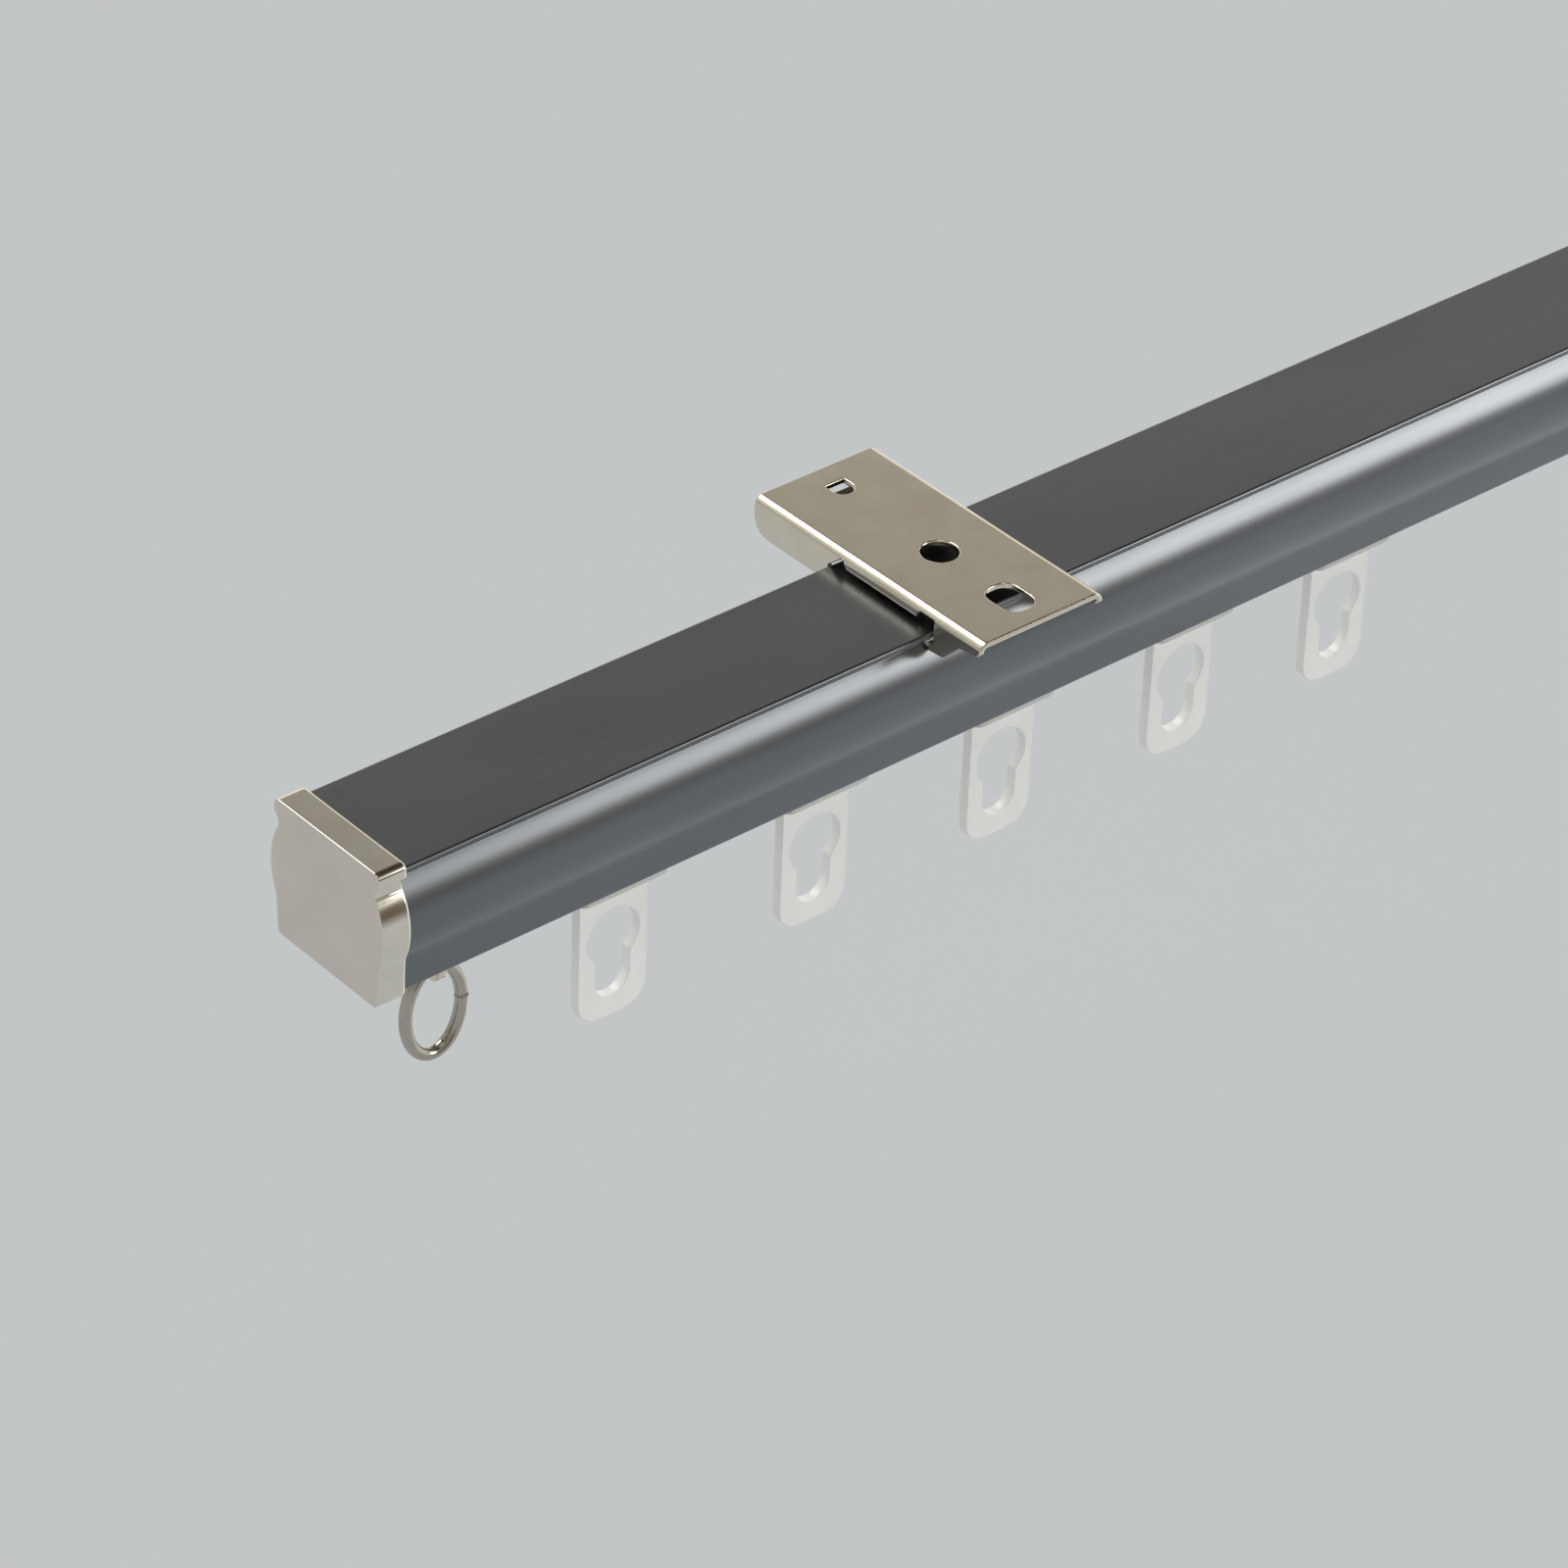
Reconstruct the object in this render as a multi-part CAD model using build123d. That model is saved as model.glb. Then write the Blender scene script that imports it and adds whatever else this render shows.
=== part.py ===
from build123d import *
from math import cos, radians, sin
import os

# Ceiling curtain track: an extruded channel held by two clip-on brackets, with wheeled runners
# inside, a stop with a ring near each end and a cast cap over each end.
# Millimetres. X runs along the track, Y across it, Z up. The solids are drawn about the middle of
# the channel with its top face at Z 0, and moved to the centre of the bracket screws when written.

# Channel, an open extrusion; widths are half widths, depths are below the top face
rail_length = 351.0
rail_height = 17.9
wall = 1.2
ledge = 1.4
slot_half = 2.75
lip_half, lip_radius = 9.62, 0.45
lip_drop, lip_under_radius = 0.55, 0.15
root_half, root_depth, root_radius = 8.23, 1.91, 0.2
bulge_half, bulge_depth = 10.45, 8.3
waist_half, waist_depth, waist_radius = 9.42, 12.9, 4.0
foot_half, foot_radius = 9.2, 0.5
hollow_half, inner_radius = 5.87, 0.4

# End caps, which stand a little proud of the channel all round
cap_thickness = 4.3
cap_proud_across = 0.5
cap_proud_top = 0.9
cap_proud_bottom = 0.55
cap_lip_radius, cap_foot_radius = 1.1, 1.0
cap_lip_drop, cap_lip_under_radius = 1.0, 0.3
cap_groove_half, cap_groove_depth, cap_groove_height = 9.35, 1.8, 1.0
cap_groove_radius = 0.6
cap_edge = 0.3
spigot_length = 5.0
spigot_half, spigot_corner = 7.5, 1.9
spigot_wall = 1.4
spigot_fit = 0.12

# Brackets, pressed from sheet: heights are above the channel's top face
bracket_spacing = 170.0
bracket_width = 20.2
bracket_back, bracket_front = 24.2, -18.3
bracket_height = 2.7
sheet = 0.8
bend_radius = 1.3
back_flange_depth = 2.6
back_corner_radius = 3.2
front_flange_height = 0.8
front_corner = 0.5
lip_fit = 0.25
claw_reach = 0.62
claw_tip_top, claw_tip_bottom = 1.5, 2.8
claw_heel = 1.8
claw_slope = 2.9
notch_width, notch_height = 2.2, 1.7
tab_height, tab_corner = 0.85, 0.5
screw_hole_radius, screw_hole_y = 2.45, 0.6
slot_hole_radius, slot_hole_length, slot_hole_y = 2.3, 6.2, -12.4
key_hole_radius, key_hole_y = 1.55, 19.1
foot_reach = 2.0
foot_start, foot_end = 12.5, 21.0

# Lock slides, which close the brackets' back side under the channel's lip
slide_fit = 0.1
slide_side_gap = 0.3
slide_front, slide_back = 11.6, 23.0
nose_half_width = 6.0
nose_step = 0.4
nose_corner = 0.2

# Runners; stations are distances from the near end of the track
station_1, station_2, station_3, station_4, station_5 = 42.7, 75.0, 106.2, 137.6, 166.1
wheel_radius, wheel_width = 4.4, 3.8
wheel_sides = 20
wheel_lift = 0.05
wheel_side_gap = 0.3
axle_radius, axle_fit = 1.0, 0.08
press_fit = 0.02
stem_half_length = 3.6
stem_half_width, stem_lift = 2.6, 0.5
neck_half_width = 1.9
collar_half_length, collar_half_width, collar_corner = 6.9, 3.4, 1.6
collar_thickness, collar_taper = 1.6, 40
collar_drop = 6.1
eye_drop = 26.1
eye_width, eye_thickness = 10.7, 1.55
eye_corner = 4.0
eye_hole_radius, eye_hole_drop = 4.15, 14.1
eye_slot_half, eye_floor = 2.7, 3.0

# End stops: a block on the ledges and a plate under them, drawn together by a screw
stop_start, stop_length = 10.0, 14.0
block_half_width, block_height = 7.0, 4.0
tongue_fit = 0.3
plate_half_width, plate_thickness = 5.0, 1.5
stop_corner = 1.5
stop_screw_station = 20.2
stop_screw_radius, stop_screw_fit = 2.0, 0.15
stop_screw_head_radius, stop_screw_head = 3.3, 1.9
stop_screw_tip = 1.2
recess_length, recess_width, recess_depth = 3.6, 0.8, 1.1
lug_station = 15.7
lug_thickness, lug_radius = 1.3, 1.9
ring_drop = 6.8
ring_wire = 0.875
ring_half_width, ring_half_height = 4.2, 6.5
ring_fit = 0.3
ring_split_angle, ring_split_rise = 2.5, 5.0
ring_runs, ring_sides = 20, 10

rail_end = rail_length / 2
track_end = rail_end + cap_thickness
bracket_x = bracket_spacing / 2
ledge_top = ledge - rail_height
row_origin = Location((0, -screw_hole_y, -bracket_height))

os.makedirs("parts", exist_ok=True)


def save(shape, node):
    export_step(row_origin * shape, f"parts/{node}.step")


# Channel and end caps

def rounded(outline, *corners):
    for point, radius in corners:
        outline = fillet(outline.vertices().sort_by_distance(point)[0], radius)
    return outline


def half_section(head, side=0, bottom=0, foot_corner=foot_radius):
    # Outline on the +Y side: the head's points from the top, then the bulge, the waist and the foot
    waist = (waist_half + side, -waist_depth)
    foot = (foot_half + side, -rail_height - bottom)
    outline = make_face([
        Polyline(foot, (0, foot[1]), (0, head[0][1]), *head),
        ThreePointArc(head[-1], (bulge_half + side, -bulge_depth), waist),
        Line(waist, foot),
    ])
    return rounded(outline, (waist, waist_radius), (foot, foot_corner))


def both_sides(half):
    return Plane.YZ * (half + mirror(half, Plane.YZ))


def make_rail():
    # A thin lip over the bulge, which runs up under it to a narrow root
    lip, under, root = (lip_half, 0), (lip_half, -lip_drop), (root_half, -root_depth)
    half = half_section([lip, under, root])
    half = rounded(half, (lip, lip_radius), (under, lip_under_radius), (root, root_radius))
    hollow = half_section([(hollow_half, -wall)], -wall, -ledge, inner_radius)
    slot = Plane.YZ * Pos(0, -rail_height) * Rectangle(2 * slot_half, 2 * ledge)
    profile = both_sides(half) - both_sides(hollow) - slot
    return Pos(-rail_end, 0, 0) * extrude(profile, rail_length)


def cap_outline():
    # Follows the channel a little outside it, with a wider groove under its lip
    lip_y = lip_half + cap_proud_across
    lip, under = (lip_y, cap_proud_top), (lip_y, -cap_lip_drop)
    groove_top = (cap_groove_half, -cap_groove_depth)
    groove_end = (cap_groove_half, -cap_groove_depth - cap_groove_height)
    half = half_section(
        [lip, under, groove_top, groove_end], cap_proud_across, cap_proud_bottom, cap_foot_radius
    )
    return both_sides(rounded(
        half, (groove_end, cap_groove_radius), (lip, cap_lip_radius), (under, cap_lip_under_radius)
    ))


def make_cap():
    # The cap of the +X end: plate with a bevelled face, and a spigot inside the channel
    plate = extrude(cap_outline(), cap_thickness)
    plate = chamfer(plate.faces().sort_by(Axis.X)[-1].edges(), cap_edge)
    height = rail_height - wall - ledge - 2 * spigot_fit
    tube = Rectangle(2 * spigot_half, height)
    tube = chamfer(tube.vertices().group_by(Axis.Y)[-1], spigot_corner)
    bore = Rectangle(2 * (spigot_half - spigot_wall), height - 2 * spigot_wall)
    tube -= chamfer(bore.vertices().group_by(Axis.Y)[-1], spigot_corner)
    tube = Plane.YZ * Pos(0, ledge_top + spigot_fit + height / 2) * tube
    return Pos(rail_end, 0, 0) * (plate + extrude(tube, -spigot_length))


# Brackets and their lock slides

def bent_sheet():
    # U section of the sheet, deep enough for the claws
    depth = bracket_height + claw_tip_bottom
    outer = Rectangle(bracket_width, depth, align=(Align.CENTER, Align.MAX))
    outer = fillet(outer.vertices().group_by(Axis.Y)[-1], bend_radius)
    inner = Rectangle(bracket_width - 2 * sheet, depth, align=(Align.CENTER, Align.MAX))
    inner = fillet(inner.vertices().group_by(Axis.Y)[-1], bend_radius - sheet)
    profile = Pos(0, bracket_height) * (outer - Pos(0, -sheet) * inner)
    return Pos(0, bracket_back, 0) * extrude(Plane.XZ * profile, bracket_back - bracket_front)


def bracket_side():
    # Side view of the bracket: back flange, notches round the lips, middle tab and front claw
    grip = lip_half + lip_fit
    notch = grip - notch_width
    tip = grip - claw_reach - lip_fit
    heel = grip + claw_heel
    outline = Polyline(
        (bracket_back, bracket_height),
        (bracket_back, -back_flange_depth),
        (grip, -back_flange_depth),
        (grip, 0),
        (notch, notch_height),
        (notch - tab_corner, notch_height),
        (notch - 2 * tab_corner, tab_height),
        (2 * tab_corner - notch, tab_height),
        (tab_corner - notch, notch_height),
        (-grip, notch_height),
        (-grip, -claw_tip_top + lip_fit),
        (-tip, -claw_tip_top),
        (-tip, -claw_tip_bottom),
        (-heel, -claw_tip_bottom + lip_fit),
        (-heel - claw_slope, front_flange_height - front_corner),
        (bracket_front + front_corner, front_flange_height),
        (bracket_front, front_flange_height + front_corner),
        (bracket_front, bracket_height),
        close=True,
    )
    side = make_face(outline)
    corner = side.vertices().sort_by_distance((bracket_back, -back_flange_depth))[0]
    return fillet(corner, back_corner_radius)


def bracket_holes():
    screw = Pos(0, screw_hole_y) * Circle(screw_hole_radius)
    slot = Pos(0, slot_hole_y) * SlotOverall(slot_hole_length, 2 * slot_hole_radius, rotation=90)
    key = Pos(0, key_hole_y) * Circle(key_hole_radius)
    square = Rectangle(2 * key_hole_radius, key_hole_radius, align=(Align.CENTER, Align.MIN))
    return screw + slot + key + Pos(0, key_hole_y) * square


def make_bracket():
    side = extrude(Plane.YZ * bracket_side(), bracket_width, both=True)
    bracket = bent_sheet() & side
    bracket -= extrude(bracket_holes(), 2 * bracket_height)
    foot = Box(foot_reach + sheet, foot_end - foot_start, sheet, align=(Align.MAX, Align.MIN, Align.MIN))
    foot = Pos(bracket_width / 2, foot_start, -back_flange_depth) * foot
    return bracket + foot + mirror(foot, Plane.YZ)


def make_lock_slide():
    # Flat plate that rests on the bracket's feet; its nose steps down under the channel's lip
    half_width = bracket_width / 2 - sheet - slide_side_gap
    low = sheet + slide_fit - back_flange_depth
    plate = Box(
        2 * half_width, slide_back - slide_front, sheet, align=(Align.CENTER, Align.MIN, Align.MIN)
    )
    nose_tip = lip_half - claw_reach
    nose_low = low - nose_step
    nose = Polyline(
        (slide_front + sheet, low),
        (slide_front, low),
        (slide_front, nose_low),
        (nose_tip, nose_low),
        (nose_tip, nose_low + sheet),
        (slide_front - sheet, nose_low + sheet),
        (slide_front - sheet, low + sheet),
        (slide_front + sheet, low + sheet),
        close=True,
    )
    nose = extrude(Plane.YZ * make_face(nose), nose_half_width, both=True)
    nose = chamfer(nose.edges().filter_by(Axis.Z).group_by(Axis.Y)[0], nose_corner)
    return Pos(0, slide_front, low) * plate + nose


# Runners

def make_runner_body():
    # Stem round the axle above the slot, neck through it, collar and eye plate below
    collar_z = -rail_height - collar_drop
    low = ledge_top + stem_lift
    stem = Pos(0, axle_z) * Circle(stem_half_length)
    stem += Pos(0, low) * Rectangle(2 * stem_half_length, axle_z - low, align=(Align.CENTER, Align.MIN))
    body = extrude(Plane.XZ * stem, stem_half_width, both=True)
    collar = Rectangle(2 * collar_half_length, 2 * collar_half_width)
    collar = chamfer(collar.vertices(), collar_corner)
    body += Pos(0, 0, collar_z) * extrude(collar, collar_thickness, taper=collar_taper)
    neck = Box(
        2 * stem_half_length, 2 * neck_half_width, low - collar_z,
        align=(Align.CENTER, Align.CENTER, Align.MIN),
    )
    body += Pos(0, 0, collar_z) * neck
    body += extrude(Plane.XZ * eye_plate(collar_z), eye_thickness / 2, both=True)
    bore = Cylinder(axle_radius + axle_fit, 4 * stem_half_width, rotation=(90, 0, 0))
    return body - Pos(0, 0, axle_z) * bore


def eye_plate(top):
    # Long plate with a keyhole: a round window over a narrower slot for the curtain hook
    bottom = -rail_height - eye_drop
    plate = Rectangle(eye_width, top - bottom, align=(Align.CENTER, Align.MIN))
    plate = Pos(0, bottom) * fillet(plate.vertices().group_by(Axis.Y)[0], eye_corner)
    window_z = -rail_height - eye_hole_drop
    slot_low = bottom + eye_floor
    slot = SlotOverall(window_z - slot_low + eye_slot_half, 2 * eye_slot_half, rotation=90)
    slot = Pos(0, (window_z + slot_low + eye_slot_half) / 2) * slot
    return plate - Pos(0, window_z) * Circle(eye_hole_radius) - slot


def make_wheel():
    # Pressed on the axle, which turns in the stem; the tread is a polygon to keep its faces few
    tread = Plane.XZ * RegularPolygon(wheel_radius, wheel_sides)
    wheel = extrude(tread, wheel_width / 2, both=True)
    return wheel - Cylinder(axle_radius + press_fit, 2 * wheel_width, rotation=(90, 0, 0))


def make_axle():
    return Cylinder(axle_radius, 2 * wheel_y + wheel_width, rotation=(90, 0, 0))


# End stops and rings, drawn for the +X end

def make_stop_block():
    block = Rectangle(stop_length, 2 * block_half_width)
    block = chamfer(block.vertices(), stop_corner)
    tongue = Rectangle(stop_length, 2 * (slot_half - tongue_fit))
    solid = Pos(0, 0, ledge_top) * extrude(block, block_height)
    solid += Pos(0, 0, -rail_height) * extrude(tongue, ledge)
    hole = Cylinder(stop_screw_radius + press_fit, 4 * rail_height)
    return Pos(stop_x, 0, 0) * solid - Pos(stop_screw_x, 0, 0) * hole


def make_stop_plate():
    plate = Rectangle(stop_length, 2 * plate_half_width)
    plate = chamfer(plate.vertices(), stop_corner)
    plate = Pos(stop_x, 0, -rail_height - plate_thickness) * extrude(plate, plate_thickness)
    lug_height = ring_drop - plate_thickness
    lug = Rectangle(2 * lug_radius, lug_height, align=(Align.CENTER, Align.MIN)) + Circle(lug_radius)
    lug -= Circle(ring_wire + ring_fit)
    lug = extrude(Plane.YZ * lug, lug_thickness / 2, both=True)
    hole = Cylinder(stop_screw_radius + stop_screw_fit, 4 * rail_height)
    return plate + Pos(lug_x, 0, ring_z) * lug - Pos(stop_screw_x, 0, 0) * hole


def make_stop_screw():
    seat = -rail_height - plate_thickness
    length = ledge_top + block_height + stop_screw_tip - seat
    align = (Align.CENTER, Align.CENTER, Align.MIN)
    screw = Cylinder(stop_screw_radius, length, align=align)
    head = Cylinder(stop_screw_head_radius, stop_screw_head, align=align)
    bar = Box(recess_length, recess_width, recess_depth, align=align)
    recess = bar + Rot(0, 0, 90) * bar
    screw += Pos(0, 0, -stop_screw_head) * (head - recess)
    return Pos(stop_screw_x, 0, seat) * screw


def make_ring():
    # Bent wire with a fine split on its inner side, in short straight runs to keep its faces few
    turn = 360 - 2 * ring_split_angle
    points = []
    for step in range(ring_runs + 1):
        angle = radians(180 - ring_split_rise + ring_split_angle + turn * step / ring_runs)
        points.append((ring_half_width * cos(angle), ring_half_height * sin(angle)))
    path = Plane.XZ * Polyline(*points)
    wire = Plane(origin=path @ 0, z_dir=path % 0) * RegularPolygon(ring_wire, ring_sides)
    return Pos(lug_x, 0, ring_z - ring_half_height) * sweep(wire, path=path, transition=Transition.RIGHT)


axle_z = ledge_top + wheel_radius + wheel_lift
wheel_y = stem_half_width + wheel_side_gap + wheel_width / 2
stop_x = track_end - stop_start - stop_length / 2
stop_screw_x = track_end - stop_screw_station
lug_x = track_end - lug_station
ring_z = -rail_height - ring_drop

save(make_rail(), "rail")

cap = make_cap()
stop_block, stop_plate, stop_screw = make_stop_block(), make_stop_plate(), make_stop_screw()
ring = make_ring()
for end, flip in (("far", False), ("near", True)):
    for shape, name in (
        (cap, "end_cap"), (stop_block, "stop_block"), (stop_plate, "stop_plate"),
        (stop_screw, "stop_screw"), (ring, "end_ring"),
    ):
        save(mirror(shape, Plane.YZ) if flip else shape, f"{name}_{end}")

bracket, lock_slide = make_bracket(), make_lock_slide()
for end, x in (("near", -bracket_x), ("far", bracket_x)):
    save(Pos(x, 0, 0) * bracket, f"bracket_{end}")
    save(Pos(x, 0, 0) * lock_slide, f"lock_slide_{end}")

runner_body, axle, wheel = make_runner_body(), make_axle(), make_wheel()
stations = (station_1, station_2, station_3, station_4, station_5)
for number, station in enumerate(stations, 1):
    centre = Pos(station - track_end, 0, 0)
    save(centre * runner_body, f"runner_{number}_body")
    save(centre * Pos(0, 0, axle_z) * axle, f"runner_{number}_axle")
    save(centre * Pos(0, -wheel_y, axle_z) * wheel, f"runner_{number}_wheel_front")
    save(centre * Pos(0, wheel_y, axle_z) * wheel, f"runner_{number}_wheel_back")
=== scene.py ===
from math import acos, cos, pi, radians, sin, tan

import bmesh
import bpy
from mathutils import Matrix, Vector
from mathutils.geometry import tessellate_polygon


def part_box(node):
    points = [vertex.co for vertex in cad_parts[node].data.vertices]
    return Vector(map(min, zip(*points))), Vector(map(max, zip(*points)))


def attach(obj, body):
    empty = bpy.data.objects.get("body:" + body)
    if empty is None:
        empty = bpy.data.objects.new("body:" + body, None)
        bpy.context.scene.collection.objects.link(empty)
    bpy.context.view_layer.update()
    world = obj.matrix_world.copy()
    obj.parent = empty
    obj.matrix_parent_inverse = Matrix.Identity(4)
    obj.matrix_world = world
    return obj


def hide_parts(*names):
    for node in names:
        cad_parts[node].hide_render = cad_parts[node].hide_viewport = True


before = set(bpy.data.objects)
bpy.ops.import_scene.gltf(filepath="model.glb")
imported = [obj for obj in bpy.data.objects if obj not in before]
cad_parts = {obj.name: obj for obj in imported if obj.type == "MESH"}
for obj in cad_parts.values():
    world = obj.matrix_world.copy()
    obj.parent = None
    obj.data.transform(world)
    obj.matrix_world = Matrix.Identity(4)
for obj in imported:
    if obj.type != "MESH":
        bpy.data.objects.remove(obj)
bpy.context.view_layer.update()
print("frame loaded:", len(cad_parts), "nodes")

mm = 0.001
railLow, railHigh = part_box("rail")
trackOrigin = Vector(((railLow.x + railHigh.x) / 2, (railLow.y + railHigh.y) / 2, railHigh.z))
# Every drawing below is in millimetres from the middle of the channel's top face
toTrack = Matrix.Translation(trackOrigin) @ Matrix.Scale(mm, 4)
alongTrack = Matrix(((1, 0, 0, 0), (0, 0, -1, 0), (0, 1, 0, 0), (0, 0, 0, 1)))  # drawn in X and Z
acrossTrack = Matrix(((0, 0, 1, 0), (1, 0, 0, 0), (0, 1, 0, 0), (0, 0, 0, 1)))  # drawn in Y and Z


# Nodes, colours and materials

def addNode(tree, kind, values=None, links=None, **settings):
    node = tree.nodes.new(kind)
    for key, value in settings.items():
        setattr(node, key, value)
    for key, value in (values or {}).items():
        node.inputs[key].default_value = value
    for key, source in (links or {}).items():
        tree.links.new(source, node.inputs[key])
    return node


def linearColour(hexColour):
    parts = [int(hexColour[i:i + 2], 16) / 255 for i in (1, 3, 5)]
    return [c / 12.92 if c <= 0.04045 else ((c + 0.055) / 1.055) ** 2.4 for c in parts] + [1.0]


def newMaterial(name, **values):
    material = bpy.data.materials.new(name)
    material.use_nodes = True
    tree = material.node_tree
    shader = tree.nodes["Principled BSDF"]
    for key, value in values.items():
        shader.inputs[key.replace("_", " ")].default_value = value
    return material, tree, shader


def grain(tree, size, stretch=(1, 1, 1)):
    # Noise with grains of about size millimetres, drawn out along each axis by its stretch
    coordinates = addNode(tree, "ShaderNodeTexCoord")
    scale = [1 / (size * mm * part) for part in stretch]
    mapping = addNode(tree, "ShaderNodeMapping", {"Scale": scale},
                      {"Vector": coordinates.outputs["Object"]})
    noise = addNode(tree, "ShaderNodeTexNoise", {"Scale": 1.0, "Detail": 3.0},
                    {"Vector": mapping.outputs["Vector"]})
    return noise.outputs["Fac"]


noiseLow, noiseHigh = 0.3, 0.7  # most of the noise's values are between these


def spread(tree, source, low, high):
    # The noise widened to a range
    return addNode(tree, "ShaderNodeMapRange",
                   {"From Min": noiseLow, "From Max": noiseHigh, "To Min": low, "To Max": high},
                   {"Value": source}).outputs["Result"]


def tone(tree, source, dark, light):
    # The noise as a blend of two colours
    ramp = addNode(tree, "ShaderNodeValToRGB", None, {"Fac": source})
    stops = ((noiseLow, dark), (noiseHigh, light))
    for element, (position, colour) in zip(ramp.color_ramp.elements, stops):
        element.position = position
        element.color = linearColour(colour)
    return ramp.outputs["Color"]


def relief(tree, shader, source, depth, strength):
    # The noise as a height, depth millimetres deep
    bump = addNode(tree, "ShaderNodeBump", {"Strength": strength, "Distance": depth * mm},
                   {"Height": source})
    tree.links.new(bump.outputs["Normal"], shader.inputs["Normal"])


def anodisedAluminium():
    # Extruded and anodised graphite grey: a soft wide highlight, with faint die lines lengthways
    material, tree, shader = newMaterial("anodisedAluminium", Metallic=1.0)
    lines = grain(tree, 0.35, (160, 1, 1))
    clouds = grain(tree, 14, (3, 1, 1))
    tree.links.new(tone(tree, clouds, "#73777B", "#7B7F83"), shader.inputs["Base Color"])
    tree.links.new(spread(tree, lines, 0.27, 0.3), shader.inputs["Roughness"])
    relief(tree, shader, lines, 0.004, 0.08)
    return material


def satinNickel():
    # Nickel plated sheet steel: warm and soft, with the rolling lines of the sheet across the track
    material, tree, shader = newMaterial("satinNickel", Metallic=1.0)
    rolling = grain(tree, 0.18, (1, 60, 1))
    clouds = grain(tree, 6)
    tree.links.new(tone(tree, clouds, "#DDD4C1", "#E5DDCC"), shader.inputs["Base Color"])
    tree.links.new(spread(tree, rolling, 0.19, 0.25), shader.inputs["Roughness"])
    relief(tree, shader, rolling, 0.002, 0.3)
    return material


def castNickelFace():
    # Zinc casting, nickel plated and left satin on its face: no lines, only a fine even grain
    material, tree, shader = newMaterial("castNickelFace", Metallic=1.0)
    sand = grain(tree, 0.12)
    clouds = grain(tree, 7)
    tree.links.new(tone(tree, clouds, "#DDD2C7", "#E5DACF"), shader.inputs["Base Color"])
    tree.links.new(spread(tree, clouds, 0.27, 0.33), shader.inputs["Roughness"])
    relief(tree, shader, sand, 0.003, 0.4)
    return material


def castNickelRim():
    # The same casting's polished rim: sharp bands of light and dark, with a trace of the buffing
    material, tree, shader = newMaterial("castNickelRim", Metallic=1.0)
    buffing = grain(tree, 0.25, (12, 1, 1))
    clouds = grain(tree, 5)
    tree.links.new(tone(tree, clouds, "#E1DACA", "#EAE4D6"), shader.inputs["Base Color"])
    tree.links.new(spread(tree, buffing, 0.07, 0.13), shader.inputs["Roughness"])
    relief(tree, shader, buffing, 0.002, 0.25)
    return material


def nickelWire():
    # Drawn wire, barrel plated and bright: near a mirror, slightly clouded
    material, tree, shader = newMaterial("nickelWire", Metallic=1.0)
    clouds = grain(tree, 2.5)
    tree.links.new(tone(tree, clouds, "#B0A99D", "#BAB4A8"), shader.inputs["Base Color"])
    tree.links.new(spread(tree, clouds, 0.08, 0.14), shader.inputs["Roughness"])
    relief(tree, shader, grain(tree, 0.3), 0.002, 0.3)
    return material


def paintedShadeSteel():
    # Spring steel of the lock slides, coloured near black as painted shade for the dark inside of
    # the bracket's holes, with a soft grey sheen
    material, tree, shader = newMaterial("paintedShadeSteel", Metallic=1.0)
    specks = grain(tree, 0.2)
    tree.links.new(tone(tree, specks, "#35342F", "#45433E"), shader.inputs["Base Color"])
    tree.links.new(spread(tree, specks, 0.4, 0.52), shader.inputs["Roughness"])
    relief(tree, shader, specks, 0.003, 0.5)
    return material


def zincSteel():
    # Mild steel, bright zinc plated: cool grey, a little patchy
    material, tree, shader = newMaterial("zincSteel", Metallic=1.0)
    patches = grain(tree, 1.6)
    tree.links.new(tone(tree, patches, "#B9BBBC", "#CDCFCE"), shader.inputs["Base Color"])
    tree.links.new(spread(tree, patches, 0.22, 0.34), shader.inputs["Roughness"])
    relief(tree, shader, grain(tree, 0.15), 0.003, 0.4)
    return material


def castZinc():
    # Die cast zinc alloy as it leaves the mould: dull, with a faintly rippled skin
    material, tree, shader = newMaterial("castZinc", Metallic=1.0)
    skin = grain(tree, 0.8)
    tree.links.new(tone(tree, skin, "#A9AAAC", "#BEBFC0"), shader.inputs["Base Color"])
    tree.links.new(spread(tree, skin, 0.38, 0.5), shader.inputs["Roughness"])
    relief(tree, shader, skin, 0.01, 0.4)
    return material


def turnedSteel():
    # Bright drawn pin stock, cut to length: fine lines round it
    material, tree, shader = newMaterial("turnedSteel", Metallic=1.0)
    lines = grain(tree, 0.12, (4, 1, 4))
    tree.links.new(tone(tree, lines, "#BFC0C1", "#CFD0D0"), shader.inputs["Base Color"])
    tree.links.new(spread(tree, lines, 0.16, 0.26), shader.inputs["Roughness"])
    return material


def mouldedAcetal():
    # White acetal, injection moulded: a waxy body with a soft sheen and faint flow marks
    material, tree, shader = newMaterial(
        "mouldedAcetal", IOR=1.48, Subsurface_Weight=0.05, Subsurface_Radius=(0.6, 0.5, 0.4),
        Subsurface_Scale=mm)
    flow = grain(tree, 3.5, (1, 1, 3))
    tree.links.new(tone(tree, flow, "#F3F2EE", "#F7F6F3"), shader.inputs["Base Color"])
    tree.links.new(spread(tree, flow, 0.18, 0.24), shader.inputs["Roughness"])
    relief(tree, shader, grain(tree, 0.4), 0.004, 0.25)
    return material


def paleStudioFloor():
    # Matt painted board, seamless
    material, tree, shader = newMaterial("paleStudioFloor", Roughness=0.95, Specular_IOR_Level=0.0)
    tree.links.new(tone(tree, grain(tree, 900), "#C1C5C8", "#C3C7CA"), shader.inputs["Base Color"])
    return material


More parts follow.
